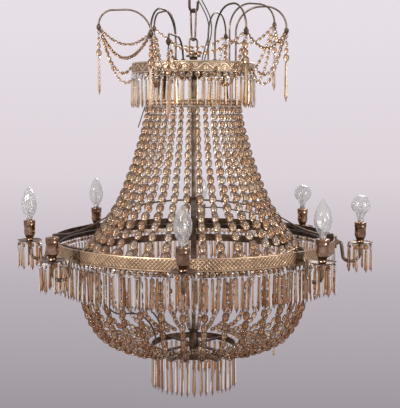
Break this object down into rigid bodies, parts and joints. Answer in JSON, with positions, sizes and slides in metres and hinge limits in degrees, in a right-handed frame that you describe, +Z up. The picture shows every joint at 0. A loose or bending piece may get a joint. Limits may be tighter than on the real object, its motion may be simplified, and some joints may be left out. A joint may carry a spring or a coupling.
{
  "type": "crystal chandelier",
  "caption": "Tent and basket chandelier of amber glass beads on brass rings, with bead swags on plume rods, swept arms with candle lamps and fringes of hanging prisms.",
  "frame": {"origin": "top end of the ceiling hook's shank, on the lamp's vertical axis", "axes": "+Z up along the stem; -Y is the front, with one arm straight in front; +X is the right"},
  "size_m": [0.8358, 0.8358, 0.954],
  "materials": {
    "dark_iron": "aged, satin",
    "bronze_wire": "dark patina",
    "brown_tube": "dark patina",
    "gilt_brass": "embossed, aged gilt",
    "dark_brass": "dark patina",
    "holder_brass": "coppery, worn",
    "contact": "glazed",
    "bulb_glass": "clear",
    "champagne_glass": "cut, clear champagne",
    "amber_glass": "cut, clear pale amber",
    "smoky_glass": "cut, darker amber",
    "wire_sheath": "matt",
    "block_plastic": "moulded"
  },
  "bodies": {
    "ceiling": {"ceiling_hook": "dark_iron"},
    "loop": {"hanging_loop": "bronze_wire"},
    "frame": {"arm_1": "dark_brass", "arm_2": "dark_brass", "arm_3": "dark_brass", "arm_4": "dark_brass", "arm_5": "dark_brass", "arm_6": "dark_brass", "arm_7": "dark_brass", "arm_8": "dark_brass", "arm_backplates": "dark_brass", "arm_pendants": "amber_glass", "arm_wiring": "wire_sheath", "band_octagons": "amber_glass", "band_prisms": "amber_glass", "bare_lamp_holder": "holder_brass", "basket_strands": "smoky_glass", "bobeches": "dark_brass", "crown_band": "gilt_brass", "crown_octagons": "champagne_glass", "crown_prisms": "champagne_glass", "crown_spider": "dark_iron", "crown_struts": "dark_iron", "holder_contacts": "contact", "hoop_brackets": "dark_iron", "inner_hoop": "dark_iron", "lamp_holders": "holder_brass", "lower_prisms": "amber_glass", "lower_ring": "dark_iron", "lower_spider": "dark_iron", "main_band": "gilt_brass", "plume_buds": "bronze_wire", "plume_rods": "bronze_wire", "ring_straps": "dark_iron", "stem_nuts": "dark_iron", "stem_tube": "brown_tube", "strap_collar": "dark_iron", "supply_lead_1": "wire_sheath", "supply_lead_2": "wire_sheath", "swag_chains": "champagne_glass", "tent_strands": "champagne_glass", "tent_top_ring": "gilt_brass", "terminal_block": "block_plastic", "top_stirrup": "bronze_wire"},
    "bulb_1": {"bulb_1": "bulb_glass"},
    "bulb_2": {"bulb_2": "bulb_glass"},
    "bulb_3": {"bulb_3": "bulb_glass"},
    "bulb_4": {"bulb_4": "bulb_glass"},
    "bulb_5": {"bulb_5": "bulb_glass"},
    "bulb_6": {"bulb_6": "bulb_glass"},
    "bulb_7": {"bulb_7": "bulb_glass"},
    "finial": {"finial_nut": "brown_tube"},
    "plume_pendant_1": {"plume_pendant_1": "champagne_glass"},
    "plume_pendant_2": {"plume_pendant_2": "champagne_glass"},
    "plume_pendant_3": {"plume_pendant_3": "champagne_glass"},
    "plume_pendant_4": {"plume_pendant_4": "champagne_glass"},
    "plume_pendant_5": {"plume_pendant_5": "champagne_glass"},
    "plume_pendant_6": {"plume_pendant_6": "champagne_glass"},
    "plume_pendant_7": {"plume_pendant_7": "champagne_glass"},
    "plume_pendant_8": {"plume_pendant_8": "champagne_glass"}
  },
  "joints": [
    {"name": "loop_on_hook", "type": "hinge", "parent": "ceiling", "child": "loop", "pos_m": [0, 0, -0.078], "axis": [0.7071, 0.7071, 0], "range_deg": [-8, 8]},
    {"name": "frame_on_loop", "type": "hinge", "parent": "loop", "child": "frame", "pos_m": [0, 0, -0.1425], "axis": [-0.7071, 0.7071, 0], "range_deg": [-8, 8]},
    {"name": "bulb_1_screw", "type": "hinge", "parent": "frame", "child": "bulb_1", "pos_m": [0, -0.388, -0.559], "axis": [0, 0, 1], "range_deg": [0, 1080]},
    {"name": "bulb_2_screw", "type": "hinge", "parent": "frame", "child": "bulb_2", "pos_m": [0.27436, -0.27436, -0.559], "axis": [0, 0, 1], "range_deg": [0, 1080]},
    {"name": "bulb_3_screw", "type": "hinge", "parent": "frame", "child": "bulb_3", "pos_m": [0, 0.388, -0.559], "axis": [0, 0, 1], "range_deg": [0, 1080]},
    {"name": "bulb_4_screw", "type": "hinge", "parent": "frame", "child": "bulb_4", "pos_m": [-0.388, 0, -0.559], "axis": [0, 0, 1], "range_deg": [0, 1080]},
    {"name": "bulb_5_screw", "type": "hinge", "parent": "frame", "child": "bulb_5", "pos_m": [-0.27436, 0.27436, -0.559], "axis": [0, 0, 1], "range_deg": [0, 1080]},
    {"name": "bulb_6_screw", "type": "hinge", "parent": "frame", "child": "bulb_6", "pos_m": [0.388, 0, -0.559], "axis": [0, 0, 1], "range_deg": [0, 1080]},
    {"name": "bulb_7_screw", "type": "hinge", "parent": "frame", "child": "bulb_7", "pos_m": [0.27436, 0.27436, -0.559], "axis": [0, 0, 1], "range_deg": [0, 1080]},
    {"name": "finial_screw", "type": "hinge", "parent": "frame", "child": "finial", "pos_m": [0, 0, -0.87], "axis": [0, 0, -1], "range_deg": [0, 1080]},
    {"name": "plume_pendant_1_swing", "type": "hinge", "parent": "frame", "child": "plume_pendant_1", "pos_m": [0.11913, -0.1944, -0.1527], "axis": [-0.8526, -0.5225, 0], "range_deg": [-3, 15]},
    {"name": "plume_pendant_2_swing", "type": "hinge", "parent": "frame", "child": "plume_pendant_2", "pos_m": [0.21007, -0.04083, -0.1387], "axis": [-0.1908, -0.9816, 0], "range_deg": [-3, 15]},
    {"name": "plume_pendant_3_swing", "type": "hinge", "parent": "frame", "child": "plume_pendant_3", "pos_m": [0.18985, 0.12806, -0.1097], "axis": [0.5592, -0.829, 0], "range_deg": [-3, 15]},
    {"name": "plume_pendant_4_swing", "type": "hinge", "parent": "frame", "child": "plume_pendant_4", "pos_m": [0.07076, 0.21779, -0.1287], "axis": [0.9511, -0.309, 0], "range_deg": [-3, 15]},
    {"name": "plume_pendant_5_swing", "type": "hinge", "parent": "frame", "child": "plume_pendant_5", "pos_m": [-0.10927, 0.20125, -0.1097], "axis": [0.8788, 0.4772, 0], "range_deg": [-3, 15]},
    {"name": "plume_pendant_6_swing", "type": "hinge", "parent": "frame", "child": "plume_pendant_6", "pos_m": [-0.22479, 0.04369, -0.1207], "axis": [0.1908, 0.9816, 0], "range_deg": [-3, 15]},
    {"name": "plume_pendant_7_swing", "type": "hinge", "parent": "frame", "child": "plume_pendant_7", "pos_m": [-0.07661, -0.21049, -0.1587], "axis": [-0.9397, 0.342, 0], "range_deg": [-3, 15]},
    {"name": "plume_pendant_8_swing", "type": "hinge", "parent": "frame", "child": "plume_pendant_8", "pos_m": [-0.03924, -0.22257, -0.1757], "axis": [-0.9848, 0.1736, 0], "range_deg": [-3, 15]}
  ]
}
